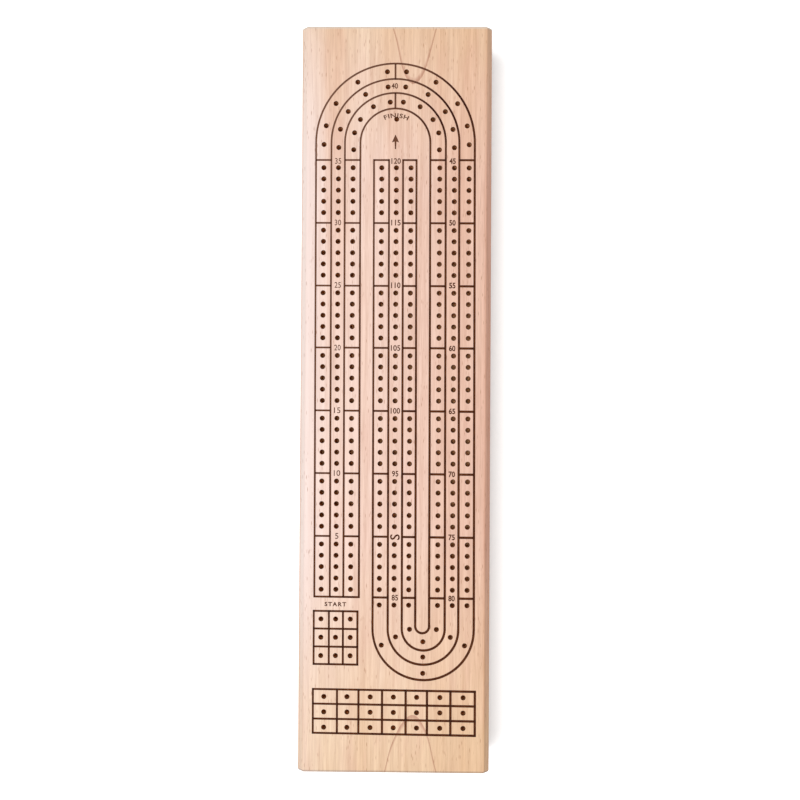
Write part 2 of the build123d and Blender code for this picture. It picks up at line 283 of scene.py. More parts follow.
# %% The wood recipe
def hardwood(name, tones, along="Y", heart=(9.7, -63.9), bow=7.2e-5, shift=(0, 0, 0), drift=None,
             roughness=0.5):
    """Pale hardwood. tones are the wood, its ring lines, its pores and its bands, heart is the place of the
    tree's heart across and below the piece in millimetres, bow its rise per square millimetre, and shift
    moves the piece to another stretch of the tree. drift is the wood's colour on the left, what multiplies
    it at the right edge as painted shade on the right bevel, the colour that it turns towards at both ends,
    and the two tones of sapwood that cover the left margin and its bevel, the bevel's one paler as a
    painted highlight."""
    wood, line_tone, pore_tone, band_tone = tones
    made, tree = new_material(name)
    spin = {"X": (0, 0, math.pi / 2), "Y": (0, 0, 0)}[along]
    coordinates = add(tree, "TexCoord").outputs
    place = add(tree, "Mapping", [coordinates["Object"], shift, spin, IN_MM])

    if drift:
        places = board_places(tree, place)
        wood = drifted(tree, wood, places, *drift[:3])
    bands = add(tree, "MapRange", [scaled_noise(tree, place, BAND), 0.3, 0.7])
    wood = add(tree, "Mix", [bands, wood, band_tone], **TINTED)
    blush = add(tree, "MapRange", [scaled_noise(tree, place, BLUSH), 0.5, 0.75, 0.0, 0.3])
    wood = add(tree, "Mix", [blush, wood, "#eab5a0"], **MIXED)
    line, season = growth(tree, place, heart, bow)
    wood = add(tree, "Mix", [line, wood, line_tone], **MIXED)
    fibres = add(tree, "MapRange", [scaled_noise(tree, place, FIBRE, 3.0, 0.85), 0.25, 0.75])
    wood = add(tree, "Mix", [fibres, wood, "#ddd0c7"], **TINTED)
    if drift:
        wood = margined(tree, wood, places, *drift[3:])
    fleck = pore_flecks(tree, place)
    wood = add(tree, "Mix", [fleck, wood, pore_tone], **MIXED)

    normal = add(tree, "SeparateXYZ", [coordinates["Normal"]]).outputs
    facing = add(tree, "Math", [normal["XY".index(along)]], operation="ABSOLUTE")
    end_grain = add(tree, "MapRange", [facing, 0.3, 0.8])
    soaked = add(tree, "Mix", [season, "#ece1d6", "#d7c5b6"], **MIXED)
    wood = add(tree, "Mix", [end_grain, wood, soaked], **TINTED)

    grooves = add(tree, "Math", [fibres, 0.3], operation="MULTIPLY")
    dip = add(tree, "Math", [fleck, grooves], operation="ADD")
    bump = add(tree, "Bump", {"Height": dip, "Strength": 0.35, "Distance": 0.1 * MM}, invert=True)
    shader = add(tree, "BsdfPrincipled", {"Base Color": wood, "Roughness": roughness, "Normal": bump})
    add(tree, "OutputMaterial", {"Surface": shader})
    return made


BOARD_TONES = ("#f6ceba", "#b9785c", "#a5673f", "#f8eee4")
# the second tone is painted shade for the right bevel; the last, the left bevel's sapwood, is paler as a
# painted highlight
BOARD_DRIFT = ("#ffe2d6", "#f6e1db", "#fadda3", "#f4dfd8", "#fff0ea")
playing_board_wood = hardwood(
    "flat_sawn_board", BOARD_TONES, shift=(0, -5, 0), drift=BOARD_DRIFT, roughness=0.45
)
print(playing_board_wood.name, "of", len(playing_board_wood.node_tree.nodes), "nodes")

# %% [markdown]
# ## Burnt lines and drilled holes
# The track is burnt into the wood with a hot bit: the line is a shallow groove, and its charred floor is
# matt and brown. It is paler where the bit ran fast, at the upper left, and nearly black where it ran
# slowest, over the right half of the arch, or crossed a line that was there already. The holes are
# drilled, so their walls are bare wood, a little toasted by the drill, and most of their darkness is
# real shadow. The rim and the top of each wall are painted dark brown as painted shade.

# %% Charred and drilled wood
PALER_SLOPE = 0.3  # the line pales to the left, and upwards by this share of that
PALER_REACH = (-10, 90)
SLOWEST = (27, 155, 43)  # the place on the arch where the bit ran slowest
SLOWEST_REACH = (9, 22)  # and how far round it the wood is charred


def plain_wood(name, low, high, size, roughness, paler=None, charred=None):
    """Open, matt wood that wavers between two tones in patches of a given size in millimetres. paler is
    what it fades towards at the upper left, and charred what it reaches on the right of the arch."""
    made, tree = new_material(name)
    place = add(tree, "Mapping", {"Vector": add(tree, "TexCoord").outputs["Object"], "Scale": IN_MM})
    patches = add(tree, "MapRange", [scaled_noise(tree, place, (1 / size,) * 3), 0.3, 0.7])
    tone = add(tree, "Mix", [patches, low, high], **MIXED)
    if paler:
        across, along, _ = add(tree, "SeparateXYZ", [place]).outputs
        up = add(tree, "Math", [along, PALER_SLOPE], operation="MULTIPLY")
        way = add(tree, "Math", [up, across], operation="SUBTRACT")
        fast = add(tree, "MapRange", [way, *PALER_REACH, 0.0, 0.6])
        tone = add(tree, "Mix", [fast, tone, paler], **MIXED)
    if charred:
        apart = add(tree, "VectorMath", [place, SLOWEST], operation="DISTANCE")
        slow = add(tree, "MapRange", [apart, *SLOWEST_REACH, 0.88, 0.0])
        tone = add(tree, "Mix", [slow, tone, charred], **MIXED)
    shader = add(tree, "BsdfPrincipled", {
        "Base Color": tone, "Roughness": roughness, "Specular IOR Level": 0.15,
    })
    add(tree, "OutputMaterial", {"Surface": shader})
    return made


burnt_line = plain_wood("burnt_line", "#451f0c", "#62351a", 2.5, 0.85, "#8a6350", "#340a00")
burnt_twice = plain_wood("burnt_twice", "#2b1307", "#41200f", 2.5, 0.85)
# dark brown painted shade for the rim and the top of each hole wall
painted_hole_shade = plain_wood("painted_hole_shade", "#4a2412", "#6b3a20", 6.0, 0.8)
drilled_wall = plain_wood("drilled_wall", "#cc935f", "#e6b582", 6.0, 0.8)
print("burnt and drilled:", burnt_line.name, burnt_twice.name, painted_hole_shade.name, drilled_wall.name)

# %% [markdown]
# ## Where the holes and lines are
# The holes are read from the model itself: the flat floor of each one is a small face, and its middle is
# the hole's place. The lines follow the holes. The two outer straights and the arch between them, the
# small bend and the middle straight are one long path, and the four lane lines run along it side by side.

# %% Find the holes
bare = merged("top_board")
inside = [face for face in bare.faces if face.normal.z > 0.99]
inside = [face for face in inside if face.calc_center_median().z < (playing_face - 1) * MM]
holes = np.array([face.calc_center_median() for face in inside]) / MM
hole_floor = holes[0, 2]
holes = holes[:, :2]
bare.free()
HOLE_RADIUS = 1.2
print(len(holes), "holes", round(playing_face - hole_floor, 2), "mm deep")

# %% Read the layout from the holes
STRAIGHT_ROWS, STRAIGHT_COLUMNS = 35, 9  # holes of the race, without the arch and the bend
across, count = np.unique(holes[:, 0].round(1), return_counts=True)
straights = across[count >= STRAIGHT_ROWS].reshape(3, 3)  # left, middle and right, three players each
upward, count = np.unique(holes[:, 1].round(1), return_counts=True)
rows = upward[count >= STRAIGHT_COLUMNS][::-1]
first_rows = rows.reshape(-1, 5)[:, 0]  # the first row of each group of five
lane_pitch = straights[1, 1] - straights[0, 1]
ARC_ABOVE_FIRST_ROW = 13.2
BEND_BELOW_LAST_ROW = 20.3
LINE_ABOVE_GROUP = 4.1  # the level line over each group
END_LINE_BELOW = 4.2  # and the one under the last
arc_centre = rows[0] + ARC_ABOVE_FIRST_ROW
bend_centre = rows[-1] - BEND_BELOW_LAST_ROW
group_lines = np.append(first_rows + LINE_ABOVE_GROUP, rows[-1] - END_LINE_BELOW)
print("straights at", straights[:, 1], "rows", rows[[0, -1]], "lines", group_lines.round(1))


# %% Draw a burnt line
BURNT_WIDTH = 1.13  # in the middle of the board
WIDER_RIGHT, NARROWER_UP = 0.004, 0.0008  # and how it changes with each millimetre
NARROWEST, WIDEST = 0.98, 1.3


def burnt_width(points):
    """Width of the line at each point, in millimetres: it grows evenly to the right and downwards."""
    width = BURNT_WIDTH + WIDER_RIGHT * points[:, 0] - NARROWER_UP * points[:, 1]
    return np.clip(width, NARROWEST, WIDEST)


def ribbon(path):
    """Quads along a path: each point moves half the width both ways, along the line that halves the corner,
    and further by one over the cosine of half the turn, so that corners stay square."""
    path = np.asarray(path, float)
    steps = np.diff(path, axis=0)
    steps /= np.linalg.norm(steps, axis=1, keepdims=True)
    before = np.vstack([steps[:1], steps])
    after = np.vstack([steps, steps[-1:]])
    heading = before + after
    heading /= np.linalg.norm(heading, axis=1, keepdims=True)
    reach = burnt_width(path)[:, None] / 2 / np.sum(heading * after, axis=1, keepdims=True)
    side = np.column_stack([-heading[:, 1], heading[:, 0]]) * reach
    points = np.vstack([path - side, path + side])
    right = np.arange(len(path) - 1)
    left = right + len(path)
    return points, np.column_stack([right, right + 1, left + 1, left]).tolist()


def arc(centre, radius, start, end, steps, rise=0.0):
    """Points round a centre, from one angle to another in degrees, counted from +X towards +Y. rise makes
    it taller than it is wide."""
    turn = np.radians(np.linspace(start, end, steps))
    return np.column_stack([centre[0] + radius * np.cos(turn), centre[1] + (radius + rise) * np.sin(turn)])


HALF_LINE = 0.52  # how far a line runs on, to close the corner with the next
ARCH_ASIDE = -0.3  # the burner stood this far left of the holes
ARCH_LINES = (42.3, 34.1, 26.9, 18.65)  # radii of the four lines over the arch
ARCH_RISE = (0.25, 0.2, -0.1, -0.15)  # how much higher their tops reach
MIDDLE_LINES = (-11.65, -3.6, 3.85, 11.0) # where they come up the middle straight
BEND_SHIFT = (-0.4, -0.4, -0.2, 1.2)  # and how far their bends' centres lie above the holes' own
ARCH_STEPS, BEND_STEPS = 72, 48
marks = []
left_lines = ARCH_ASIDE - np.array(ARCH_LINES)
right_lines = ARCH_ASIDE + np.array(ARCH_LINES)
for left, right, middle, shift, rise in zip(left_lines, right_lines, MIDDLE_LINES, BEND_SHIFT, ARCH_RISE):
    turn = ((right + middle) / 2, bend_centre + shift)
    marks.append(ribbon(np.vstack([
        [(left, group_lines[-1] - HALF_LINE)],
        arc((ARCH_ASIDE, arc_centre), (right - left) / 2, 180, 0, ARCH_STEPS, rise),
        arc(turn, (right - middle) / 2, 0, -180, BEND_STEPS),
        [(middle, group_lines[0] + HALF_LINE)],
    ])))
print(len(marks), "lane lines")


# %% Rungs between the lanes, and the blocks
ARCH_TICKS = -0.35  # the two short marks at the top of the arch
RUNG_SLIPS = (0, -0.25, -0.36, 0, -0.14, -0.1, -0.1, 0)  # how far off its place each row was burnt
for number, y in enumerate(group_lines + RUNG_SLIPS):
    for lines in (left_lines, MIDDLE_LINES, right_lines[::-1]):
        pairs = [lines[:2], lines[2:]]
        if number == len(group_lines) - 1 and lines is left_lines:
            pairs = [(lines[0], lines[-1])]
        for low, high in pairs:
            marks.append(ribbon([(low, y), (high, y)]))
for outer, inner in (ARCH_LINES[:2], ARCH_LINES[2:]):
    marks.append(ribbon([(ARCH_TICKS, arc_centre + outer), (ARCH_TICKS, arc_centre + inner)]))


def block(columns, levels):
    """A ruled block: upright lines at the columns and level lines at the levels, square at the corners."""
    for x in columns:
        marks.append(ribbon([(x, levels[0] + HALF_LINE), (x, levels[-1] - HALF_LINE)]))
    for y in levels:
        marks.append(ribbon([(columns[0] - HALF_LINE, y), (columns[-1] + HALF_LINE, y)]))


START_COLUMNS = (-42.85, -34.8, -27.35, -19.65)
START_LEVELS = (-113.5, -122.85, -132.35, -141.65)
GAMES_COLUMNS = (-43.15, -30.35, -18.95, -6.45, 6.05, 17.35, 29.75, 42.65)
GAMES_LEVELS = (-154.9, -162.65, -170.55, -178.1)
block(START_COLUMNS, START_LEVELS)
block(GAMES_COLUMNS, GAMES_LEVELS)
ARROW = [(0, 0), (-1.95, -4.3), (-0.5, -3.75), (-0.3, -7.8), (0.3, -7.8), (0.5, -3.75), (1.95, -4.3)]
ARROW_FACES = [[0, 1, 2], [0, 2, 5], [2, 3, 4, 5], [0, 5, 6]]
ARROW_TIP = (-0.25, 140.5)
marks.append((np.array(ARROW) + ARROW_TIP, ARROW_FACES))
print(len(marks), "lines and marks")

# %% [markdown]
# ## Numbers
# Every fifth hole has its number, thin and narrow, set in the middle lane where the rungs stop. Text
# makes the outlines, and a flat mesh of it is scaled and moved as an array. The word over the last hole
# is bent round the arch: a letter's distance along the line becomes an angle, its height a radius.

# %% Set the numbers and words
SLIVER = 1e-5  # square millimetres: the filled outline has a few empty triangles


def lettering(words, height, width, spacing=1.0, weight=0.025):
    """Text as flat triangles, centred on the origin and scaled to a height and a width in millimetres.
    weight is how far the outlines grow, as a share of the letter size."""
    text = bpy.data.curves.new(words, "FONT")
    text.body = words
    text.resolution_u = 3
    text.space_character = spacing
    text.offset = weight
    holder = placed(words, text)
    drawn = bpy.data.meshes.new_from_object(holder.evaluated_get(bpy.context.evaluated_depsgraph_get()))
    points = np.array([vertex.co[:2] for vertex in drawn.vertices])
    faces = np.array([face.vertices for face in drawn.polygons])
    bpy.data.objects.remove(holder)
    bpy.data.meshes.remove(drawn)
    low, high = points.min(axis=0), points.max(axis=0)
    points = (points - (low + high) / 2) / (high - low) * (width, height)
    one, two, three = points[faces[:, 0]], points[faces[:, 1]], points[faces[:, 2]]
    doubled_area = np.cross(two - one, three - one)
    return points, faces[doubled_area > SLIVER].tolist()


def stamp(drawn, x, y, turn=0):
    """Lettering turned and moved to its place."""
    points, faces = drawn
    cosine, sine = math.cos(math.radians(turn)), math.sin(math.radians(turn))
    marks.append((points @ np.array([(cosine, sine), (-sine, cosine)]) + (x, y), faces))


NUMBER_HEIGHT = 3.1
DIGIT_WIDTH = 1.62
END_MARGIN = 0.2  # what a number is wider than its digits' pitch
FIRST_ROW_DROP = -0.5  # the numbers of the top line are set this much lower
THINNEST, THICKER_RIGHT = 0.020, 0.0004  # burnt harder towards the right, as the lines are
left_numbers = range(35, 0, -5)
middle_numbers = (120, 115, 110, 105, 100, 95, None, 85)
right_numbers = range(45, 85, 5)
for lines, numbers in (
    (left_lines, left_numbers), (MIDDLE_LINES, middle_numbers), (right_lines, right_numbers),
):
    lane = (lines[1] + lines[2]) / 2
    weight = THINNEST + THICKER_RIGHT * lane
    for number, y in zip(numbers, group_lines):
        if number:
            width = DIGIT_WIDTH * len(str(number)) + END_MARGIN
            drawn = lettering(str(number), NUMBER_HEIGHT, width, weight=weight)
            stamp(drawn, lane, y + (FIRST_ROW_DROP if y == group_lines[0] else 0.0))
WORDS = (  # text, height, width, spacing, weight, then its place and turn
    ("40", NUMBER_HEIGHT, 3.4, 1.0, 0.025, -0.75, arc_centre + lane_pitch - 0.3, 0),
    ("S", 5.2, 3.0, 1.0, 0.015, 0.1, group_lines[6] - 0.2, 90),
    ("START", 2.3, 11.5, 1.3, 0.035, -31.4, -109.8, 0),
)
for words, height, width, spacing, weight, *place in WORDS:
    stamp(lettering(words, height, width, spacing, weight), *place)
FINISH_RADIUS = 14.8
FINISH_TURN = 0.03  # radians past the top of the arch
points, faces = lettering("FINISH", 2.5, 13.4, 1.15)
ring = FINISH_RADIUS + points[:, 1]
turn = points[:, 0] / FINISH_RADIUS + FINISH_TURN
bent = np.column_stack([ARCH_ASIDE + ring * np.sin(turn), arc_centre + ring * np.cos(turn)])
marks.append((bent, faces))
print(len(marks), "marks with the numbers")

# %% [markdown]
# ## The track, a little askew
# The lines were burnt by hand and don't quite line up with the holes: the upright ones lean, and the
# level ones fall to the right, more so towards the start. Every mark so far is a flat array of points, so
# one function of x and y can bend them all at once.

# %% Lay the track as it was burnt
LEAN = -0.0026  # the upright lines lean, aside by this share of their height
LEAN_LEVEL = 10.0
SWING = 3.2e-5  # and the level lines fall to the right, more towards the start
SWING_LEVEL = 110.0


def as_burnt(points):
    """x grows by the lean times the height above one level, and y falls by the swing times x times the
    depth below another."""
    x, y = points.T
    return np.column_stack([x + LEAN * (y - LEAN_LEVEL), y - SWING * x * (SWING_LEVEL - y)])


marks = [(as_burnt(points), faces) for points, faces in marks]
print("the track leans by", round(math.degrees(-LEAN), 2), "degrees")

# %% [markdown]
# ## The playing board
# The face could be cut with Booleans, but 391 holes and crossing lines make those slow and fragile.
# Instead the face is one flat triangulation that keeps every hole rim, line edge and digit outline as
# an edge. Triangles inside a hole are dropped, triangles inside a line drop by the groove's depth with a
# small wall at their edge, and the rest stays. Then rings of points carry the holes down to their
# floors, and level loops carry the board's outline down its steep bevels to the glue line.

# %% The outline at each level
BEVEL_ACROSS, BEVEL_DOWN = 2.8, 3.4  # the long edges
UPPER_ARRIS, LOWER_ARRIS = 1.1, 0.5  # radii that sanding left on the bevel's two edges
END_EASING = 0.6
CORNER_RADIUS = 1.0
CORNER_STEPS = 6


def level_loop(across, along, radius, z):
    """A rounded rectangle at one level, anticlockwise from above: four quarter circles."""
    turn = np.radians(np.linspace(0, 90, CORNER_STEPS + 1))
    quarter = radius * np.column_stack([np.cos(turn), np.sin(turn)])
    centre = np.array([across - radius, along - radius])
    corners = [quarter + centre, quarter[::-1] * (-1, 1) + centre * (-1, 1),
               -quarter - centre, quarter[::-1] * (1, -1) + centre * (1, -1)]
    flat = np.vstack(corners)
    return np.column_stack([flat, np.full(len(flat), z)])


steepness = math.atan2(BEVEL_DOWN, BEVEL_ACROSS)
upper = np.linspace(0, steepness, 6)
lower = np.linspace(steepness, math.pi / 2, 4)
upper_inset = BEVEL_ACROSS + UPPER_ARRIS * (math.tan(steepness / 2) - np.sin(upper))
lower_inset = LOWER_ARRIS * (1 - np.sin(lower))
lower_drop = BEVEL_DOWN + LOWER_ARRIS * (math.tan((math.pi / 2 - steepness) / 2) - np.cos(lower))
inset = np.concatenate([upper_inset, lower_inset, [0]])
drop = np.concatenate([UPPER_ARRIS * (1 - np.cos(upper)), lower_drop, [playing_face - board_low[2]]])
rounding = np.clip(END_EASING - drop, 0, None)
end_inset = END_EASING - np.sqrt(END_EASING ** 2 - rounding ** 2)
half_across, half_along = board_high[0], board_high[1]
loops = [
    level_loop(half_across - side, half_along - end, CORNER_RADIUS, playing_face - down)
    for side, end, down in zip(inset, end_inset, drop)
]
print(len(loops), "levels of", len(loops[0]), "points")

# %% Triangulate the face
RIM = 0.16  # the tiny chamfer round each hole
HOLE_SHADE_DEPTH = 1.1  # how far the painted shade at the top of each hole reaches down the wall
HOLE_SIDES = 20
spokes = np.radians(np.arange(HOLE_SIDES) * 360 / HOLE_SIDES)
circle = np.column_stack([np.cos(spokes), np.sin(spokes)])
rims = holes[:, None, :] + (HOLE_RADIUS + RIM) * circle
outline_points = loops[0][:, :2]
BOARD, MARK, HOLE = 0, 1, 2
flat_points = [outline_points, rims.reshape(-1, 2)]
flat_faces = [list(range(len(outline_points)))]
kinds = [BOARD]
first_rim = len(outline_points)
for number in range(len(holes)):
    start = first_rim + number * HOLE_SIDES
    flat_faces.append(list(range(start, start + HOLE_SIDES)))
    kinds.append(HOLE)
start = first_rim + len(holes) * HOLE_SIDES
for points, faces in marks:
    flat_points.append(points)
    flat_faces += [[start + corner for corner in face] for face in faces]
    kinds += [MARK] * len(faces)
    start += len(points)
flat_points = [Vector(point) for point in np.vstack(flat_points)]
met = delaunay_2d_cdt(flat_points, [], flat_faces, 0, 1e-5)
face_points = np.array([tuple(point) for point in met[0]])
triangles = np.array(met[2])
kind = np.array([max((kinds[source] for source in sources), default=-1) for sources in met[5]])
crossed = np.array([sum(kinds[source] == MARK for source in sources) > 1 for sources in met[5]])
place_of = np.zeros(len(flat_points), int)
for index, sources in enumerate(met[3]):
    place_of[sources] = index
print(len(face_points), "points,", np.bincount(kind + 1), "triangles outside, flat, burnt, open")

# %% Cut the grooves
GROOVE_DEPTH = 0.25
total = len(face_points)
high_layer = np.column_stack([face_points, np.full(total, playing_face)])
low_layer = high_layer - (0, 0, GROOVE_DEPTH)
burnt = triangles[kind == MARK]
edges = np.vstack([burnt[:, [0, 1]], burnt[:, [1, 2]], burnt[:, [2, 0]]])
code = edges[:, 0] * total + edges[:, 1]
border = edges[~np.isin(code, edges[:, 1] * total + edges[:, 0])]
groove_walls = np.column_stack([border[:, 1] + total, border[:, 0] + total, border[:, 0], border[:, 1]])
print(len(groove_walls), "walls along the grooves")

# %% Carry the holes down
ring_starts = np.arange(len(holes))[:, None] * HOLE_SIDES
side = np.arange(HOLE_SIDES)
after = (side + 1) % HOLE_SIDES
rim_ids = place_of[first_rim + ring_starts + side]
neck = holes[:, None, :] + HOLE_RADIUS * circle
neck = neck.reshape(-1, 2)
hole_layers = [
    np.column_stack([neck, np.full(len(neck), level)])
    for level in (playing_face - RIM, playing_face - HOLE_SHADE_DEPTH, hole_floor)
]
neck_ids = 2 * total + ring_starts + side
waist_ids = neck_ids + len(neck)
floor_ids = waist_ids + len(neck)


def ring_faces(top, bottom):
    """Quads between two rings of point numbers, facing the middle of the ring."""
    return np.stack([top, top[:, after], bottom[:, after], bottom], axis=-1).reshape(-1, 4)


rings = (rim_ids, neck_ids, waist_ids, floor_ids)
hole_faces = [ring_faces(upper_ring, lower_ring) for upper_ring, lower_ring in zip(rings, rings[1:])]
print("each hole has", len(hole_faces), "rings of", HOLE_SIDES, "faces")

# %% Carry the outline down
loop_size = len(outline_points)
loop_start = 2 * total + len(hole_layers) * len(neck)
loop_ids = [place_of[:loop_size]]
loop_ids += [loop_start + level * loop_size + np.arange(loop_size) for level in range(len(loops) - 1)]
onward = np.roll(np.arange(loop_size), -1)
side_faces = np.vstack([
    np.column_stack([low, low[onward], high[onward], high]) for high, low in zip(loop_ids, loop_ids[1:])
])
print(len(side_faces), "faces round the sides")

# %% A piece from points and faces
def new_piece(name, points, faces, materials, slots=0, smooth=True):
    """A mesh from points in millimetres, with its material slot and shading for each face."""
    mesh = bpy.data.meshes.new(name)
    mesh.from_pydata(points * MM, [], faces)
    for material in materials:
        mesh.materials.append(material)
    mesh.polygons.foreach_set("material_index", np.broadcast_to(slots, len(faces)).astype(np.int32))
    mesh.polygons.foreach_set("use_smooth", np.broadcast_to(smooth, len(faces)).astype(bool))
    return placed(name, mesh)


def drop_loose(piece):
    """Takes away points that no face uses."""
    form = bmesh.new()
    form.from_mesh(piece.data)
    bmesh.ops.delete(form, geom=[vertex for vertex in form.verts if not vertex.link_faces], context="VERTS")
    form.to_mesh(piece.data)
    form.free()


# %% Put the board together
FLAT, BURNT, HOLE_SHADE_SLOT, DRILLED, BURNT_TWICE = range(5)  # the finishes' slots
board_points = np.vstack([high_layer, low_layer, *hole_layers, *loops[1:]])
groups = [
    (triangles[kind == BOARD], FLAT, False),
    (triangles[(kind == MARK) & ~crossed] + total, BURNT, False),
    (triangles[(kind == MARK) & crossed] + total, BURNT_TWICE, False),
    (groove_walls, BURNT, False),
    # the rim and the top of each hole wall carry painted shade
    (hole_faces[0], HOLE_SHADE_SLOT, True),
    (hole_faces[1], HOLE_SHADE_SLOT, True),
    (hole_faces[2], DRILLED, True),
    (floor_ids, DRILLED, False),
    (side_faces, FLAT, True),
    (loop_ids[-1][::-1][None, :], FLAT, False),
]
faces = [face.tolist() for group, _, _ in groups for face in group]
slots = np.concatenate([np.full(len(group), slot) for group, slot, _ in groups])
smooth = np.concatenate([np.full(len(group), round_face) for group, _, round_face in groups])
finishes = (playing_board_wood, burnt_line, painted_hole_shade, drilled_wall, burnt_twice)
playing_board = new_piece("playing_board", board_points, faces, finishes, slots, smooth)
drop_loose(playing_board)
playing_board.data.set_sharp_from_angle(angle=math.radians(38))
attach(playing_board, "box")
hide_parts("top_board")
print("board of", len(playing_board.data.polygons), "faces")

# %% [markdown]
# ## The case and the drawer
# Rails, end block and drawer parts are sawn, planed and sanded, and only sandpaper shapes their edges. The
# model already has their joints, so each one is copied, its loose triangles are merged into whole faces,
# and a Bevel modifier rounds the outer edges by a third of a millimetre. An edge that lies in a glued
# joint was sanded after the joint closed, so it gets only a hair. Inner corners stay sharp.

# %% Soften the edges of a wooden piece
SANDED = 0.35  # radius that sandpaper leaves
GLUED = 0.25  # share of it on a glue line


def softened(name, node, body, material, glue_lines=()):
    """A copy of a node with rounded outer edges. A glue line is an axis number and a place along it."""
    form = merged(node)
    weight = form.edges.layers.float.new("bevel_weight_edge")
    for edge in form.edges:
        corner = edge.calc_face_angle(0) > math.radians(30)
        if corner and edge.is_convex:
            ends = np.array([vertex.co for vertex in edge.verts]) / MM
            glued = any(np.abs(ends[:, axis] - place).max() < 0.01 for axis, place in glue_lines)
            edge[weight] = GLUED if glued else 1
        edge.smooth = not corner or edge.is_convex
    mesh = bpy.data.meshes.new(name)
    form.to_mesh(mesh)
    form.free()
    mesh.materials.append(material)
    mesh.polygons.foreach_set("use_smooth", np.ones(len(mesh.polygons), bool))
    piece = placed(name, mesh)
    rounding = piece.modifiers.new("sanded_edges", "BEVEL")
    rounding.width = SANDED * MM
    rounding.segments = 2
    rounding.limit_method = "WEIGHT"
    rounding.harden_normals = True
    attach(piece, body)
    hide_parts(node)
    return piece


# %% [markdown]
# ## Timber for each piece
# Every piece was cut from another place in the tree, so each has its own cut of the same solid pattern:
# the heart lies elsewhere and the figure is shifted along the grain. The pieces that cross the box have
# their grain across it, as a joiner would cut them. The drawer's wood is plainer and a little yellower
# than the case's.

# %% Cuts of the timber
CASE_TONES = ("#f6d0b8", "#b9785c", "#a5673f", "#f8eee4")
DRAWER_TONES = ("#f3dab8", "#c79a6c", "#b08258", "#faf1e2")
case_wood = {
    "left": hardwood("rail_timber_left", CASE_TONES, heart=(-96, 62), shift=(0, 310, 0), bow=4e-5),
    "right": hardwood("rail_timber_right", CASE_TONES, heart=(104, 75), shift=(0, -270, 0), bow=5e-5),
    "end": hardwood("end_block_timber", CASE_TONES, "X", heart=(150, -40), shift=(0, 35, 0)),
    "front": hardwood("drawer_front_timber", CASE_TONES, "X", heart=(-265, -32), shift=(0, -15, 0),
                      bow=6e-4),
}
drawer_wood = {
    "left": hardwood("drawer_side_timber_left", DRAWER_TONES, heart=(-120, 40), shift=(0, 140, 0),
                     bow=3e-5),
    "right": hardwood("drawer_side_timber_right", DRAWER_TONES, heart=(125, 52), shift=(0, -90, 0),
                      bow=3e-5),
    "cross": hardwood("cross_piece_timber", DRAWER_TONES, "X", heart=(60, -70), shift=(0, 70, 0)),
}
print(len(case_wood) + len(drawer_wood), "cuts of timber")

# %% The case
rail_top = box_mm("side_rail_left")[1][2]
for side in ("left", "right"):
    rail = f"side_rail_{side}"
    softened(f"{side}_rail", rail, "box", case_wood[side], [(2, rail_top)])
bay_half_width = box_mm("end_block")[1][0]
end_joints = [(2, rail_top), (0, -bay_half_width), (0, bay_half_width)]
softened("end_wall", "end_block", "box", case_wood["end"], end_joints)
print("a drawer bay", round(2 * bay_half_width, 2), "mm wide")

# %% The drawer
softened("drawer_face", "drawer_front", "drawer", case_wood["front"])
for side in ("left", "right"):
    node = f"drawer_side_{side}"
    softened(f"{side}_drawer_side", node, "drawer", drawer_wood[side])
for name, node in (
    ("drawer_rear", "drawer_back"), ("peg_wall", "peg_divider"),
    ("card_wall", "card_divider"), ("rear_wall", "rear_divider"),
):
    softened(name, node, "drawer", drawer_wood["cross"])
print("the drawer's frame is", round(box_mm("drawer_side_left")[1][2], 2), "mm up at its rim")

# %% [markdown]
# ## Birch plywood
# Both thin panels are birch plywood: a pale face veneer whose grain runs along the box, and at the edges
# the three plies, of which the middle one runs across and shows its darker end grain between two thin
# brown glue lines. The plies are counted by height, and the surface's direction tells face from edge.

# %% Plywood
VENEER_FIBRE = (1 / 0.8, 1 / 60, 1 / 0.8)
VENEER_BAND = (1 / 22, 1 / 260, 1 / 22)
CORE_PORE = (1 / 0.35,) * 3
GLUE_LINE = 0.07  # half its thickness, as a share of a ply
EDGE_TILT = 0.6  # a surface steeper than this belongs to the edge


